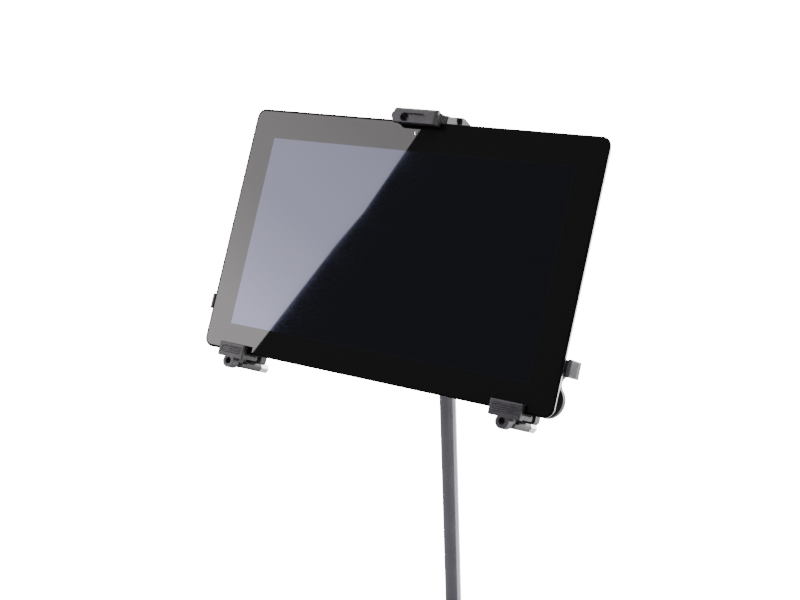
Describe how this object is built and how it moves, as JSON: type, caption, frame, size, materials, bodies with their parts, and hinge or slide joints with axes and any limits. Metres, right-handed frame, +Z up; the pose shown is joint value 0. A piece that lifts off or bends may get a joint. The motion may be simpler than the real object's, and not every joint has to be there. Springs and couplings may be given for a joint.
{
  "type": "stand-mounted tablet holder",
  "caption": "Clamping tablet cradle with sliding arms, sprung top jaw and swing-out side stops, on a turning and tilting head at the top of a thin stand tube.",
  "frame": {"origin": "centre of the stand tube's open lower end", "axes": "+Z up along the stand tube, +X to the right of the screen, -Y towards the person who looks at the screen"},
  "size_m": [0.2824, 0.1247, 0.4166],
  "materials": {
    "tube": "satin dark grey powder coat",
    "steel": "zinc-plated",
    "black_steel": "black oxide",
    "chrome": "bright nickel",
    "die_cast": "black powder coat on zinc",
    "brass": "turned",
    "knob_plastic": "fine spark-eroded texture",
    "anodised": "black anodised",
    "holder_plastic": "satin glass-filled nylon",
    "rubber": "matt",
    "tablet_case": "dark satin coat",
    "tablet_glass": "polished, black behind"
  },
  "bodies": {
    "stand": {"stand_tube": "tube", "thread_stud": "steel"},
    "lock_nut": {"lock_nut": "die_cast"},
    "swivel": {"swivel_fork": "die_cast", "tilt_bolt": "steel", "tilt_washer": "steel"},
    "tilt_knob": {"tilt_knob": "knob_plastic", "knob_insert": "brass"},
    "head": {"tilt_head": "die_cast", "hub_bolt": "steel", "hub_washer": "steel"},
    "cradle": {"hub_rotor": "holder_plastic", "tee_plate": "anodised", "tee_screws": "steel", "cross_rail": "anodised", "spine_rail": "anodised"},
    "top_arm": {"top_arm": "anodised", "jaw_spring": "steel"},
    "top_lock": {"top_lock_screw": "steel", "top_lock_knob": "knob_plastic"},
    "jaw": {"jaw_lip": "holder_plastic", "jaw_grip": "rubber", "jaw_carriage": "holder_plastic", "jaw_screw": "steel"},
    "tablet": {"tablet_case": "tablet_case", "tablet_glass": "tablet_glass"},
    "left_arm": {"left_arm": "anodised", "left_claw_base": "holder_plastic", "left_arm_screw": "steel", "left_back_pad": "rubber", "left_clamp_nut": "chrome", "left_lever_screw": "steel", "left_lever_nut": "chrome"},
    "left_lock": {"left_lock_screw": "steel", "left_lock_knob": "knob_plastic"},
    "left_claw": {"left_claw": "holder_plastic", "left_claw_liner": "rubber"},
    "left_clamp_screw": {"left_clamp_screw": "black_steel"},
    "left_lever": {"left_side_lever": "holder_plastic", "left_stop_pad": "rubber"},
    "right_arm": {"right_arm": "anodised", "right_claw_base": "holder_plastic", "right_arm_screw": "steel", "right_back_pad": "rubber", "right_clamp_nut": "chrome", "right_lever_screw": "steel", "right_lever_nut": "chrome"},
    "right_lock": {"right_lock_screw": "steel", "right_lock_knob": "knob_plastic"},
    "right_claw": {"right_claw": "holder_plastic", "right_claw_liner": "rubber"},
    "right_clamp_screw": {"right_clamp_screw": "black_steel"},
    "right_lever": {"right_side_lever": "holder_plastic", "right_stop_pad": "rubber"}
  },
  "joints": [
    {"name": "lock_nut_turn", "type": "hinge", "parent": "stand", "child": "lock_nut", "pos_m": [0, 0, 0.2674], "axis": [0, 0, 1], "range_deg": [0, 180]},
    {"name": "pan", "type": "hinge", "parent": "stand", "child": "swivel", "pos_m": [0, 0, 0.27], "axis": [0, 0, 1], "range_deg": [-180, 180]},
    {"name": "tilt", "type": "hinge", "parent": "swivel", "child": "head", "pos_m": [0, 0, 0.3], "axis": [1, 0, 0], "range_deg": [-63, 26]},
    {"name": "tilt_knob_turn", "type": "hinge", "parent": "swivel", "child": "tilt_knob", "pos_m": [0.0134, 0, 0.3], "axis": [1, 0, 0], "range_deg": [0, 180]},
    {"name": "cradle_turn", "type": "hinge", "parent": "head", "child": "cradle", "pos_m": [0, -0.03426, 0.31711], "axis": [0, -0.8946, 0.4468], "range_deg": [-90, 90]},
    {"name": "top_arm_slide", "type": "slide", "parent": "cradle", "child": "top_arm", "axis": [0, 0.4468, 0.8946], "range_m": [0, 0.03]},
    {"name": "top_lock_turn", "type": "hinge", "parent": "cradle", "child": "top_lock", "pos_m": [0, -0.01662, 0.35916], "axis": [0, 0.8946, -0.4468], "range_deg": [0, 180]},
    {"name": "jaw_lift", "type": "slide", "parent": "top_arm", "child": "jaw", "axis": [0, 0.4468, 0.8946], "range_m": [0, 0.01], "stiffness_N_per_m": 250, "springref_m": -0.02, "deforming": ["jaw_spring"]},
    {"name": "tablet_lift", "type": "slide", "parent": "cradle", "child": "tablet", "axis": [0, 0.4468, 0.8946], "range_m": [0, 0.008]},
    {"name": "left_arm_slide", "type": "slide", "parent": "cradle", "child": "left_arm", "axis": [-1, 0, 0], "range_m": [0, 0.04]},
    {"name": "left_lock_turn", "type": "hinge", "parent": "cradle", "child": "left_lock", "pos_m": [-0.055, -0.07024, 0.2518], "axis": [0, 0.8946, -0.4468], "range_deg": [0, 180]},
    {"name": "left_claw_slide", "type": "slide", "parent": "left_arm", "child": "left_claw", "axis": [0, -0.8946, 0.4468], "range_m": [0, 0.006]},
    {"name": "left_clamp_turn", "type": "hinge", "parent": "left_claw", "child": "left_clamp_screw", "pos_m": [-0.108, -0.10364, 0.2477], "axis": [0, -0.8946, 0.4468], "range_deg": [0, 4800]},
    {"name": "left_lever_turn", "type": "hinge", "parent": "left_arm", "child": "left_lever", "pos_m": [-0.1253, -0.08464, 0.25844], "axis": [0, -0.8946, 0.4468], "range_deg": [0, 80]},
    {"name": "right_arm_slide", "type": "slide", "parent": "cradle", "child": "right_arm", "axis": [1, 0, 0], "range_m": [0, 0.04]},
    {"name": "right_lock_turn", "type": "hinge", "parent": "cradle", "child": "right_lock", "pos_m": [0.055, -0.07024, 0.2518], "axis": [0, 0.8946, -0.4468], "range_deg": [0, 180]},
    {"name": "right_claw_slide", "type": "slide", "parent": "right_arm", "child": "right_claw", "axis": [0, -0.8946, 0.4468], "range_m": [0, 0.006]},
    {"name": "right_clamp_turn", "type": "hinge", "parent": "right_claw", "child": "right_clamp_screw", "pos_m": [0.108, -0.10364, 0.2477], "axis": [0, -0.8946, 0.4468], "range_deg": [0, 4800]},
    {"name": "right_lever_turn", "type": "hinge", "parent": "right_arm", "child": "right_lever", "pos_m": [0.1253, -0.08464, 0.25844], "axis": [0, 0.8946, -0.4468], "range_deg": [0, 80]}
  ],
  "couplings": [
    {"joint": "jaw_lift", "follows": "tablet_lift", "ratio": 1},
    {"joint": "left_clamp_turn", "follows": "left_claw_slide", "rad_per_m": 13963},
    {"joint": "right_clamp_turn", "follows": "right_claw_slide", "rad_per_m": 13963}
  ]
}
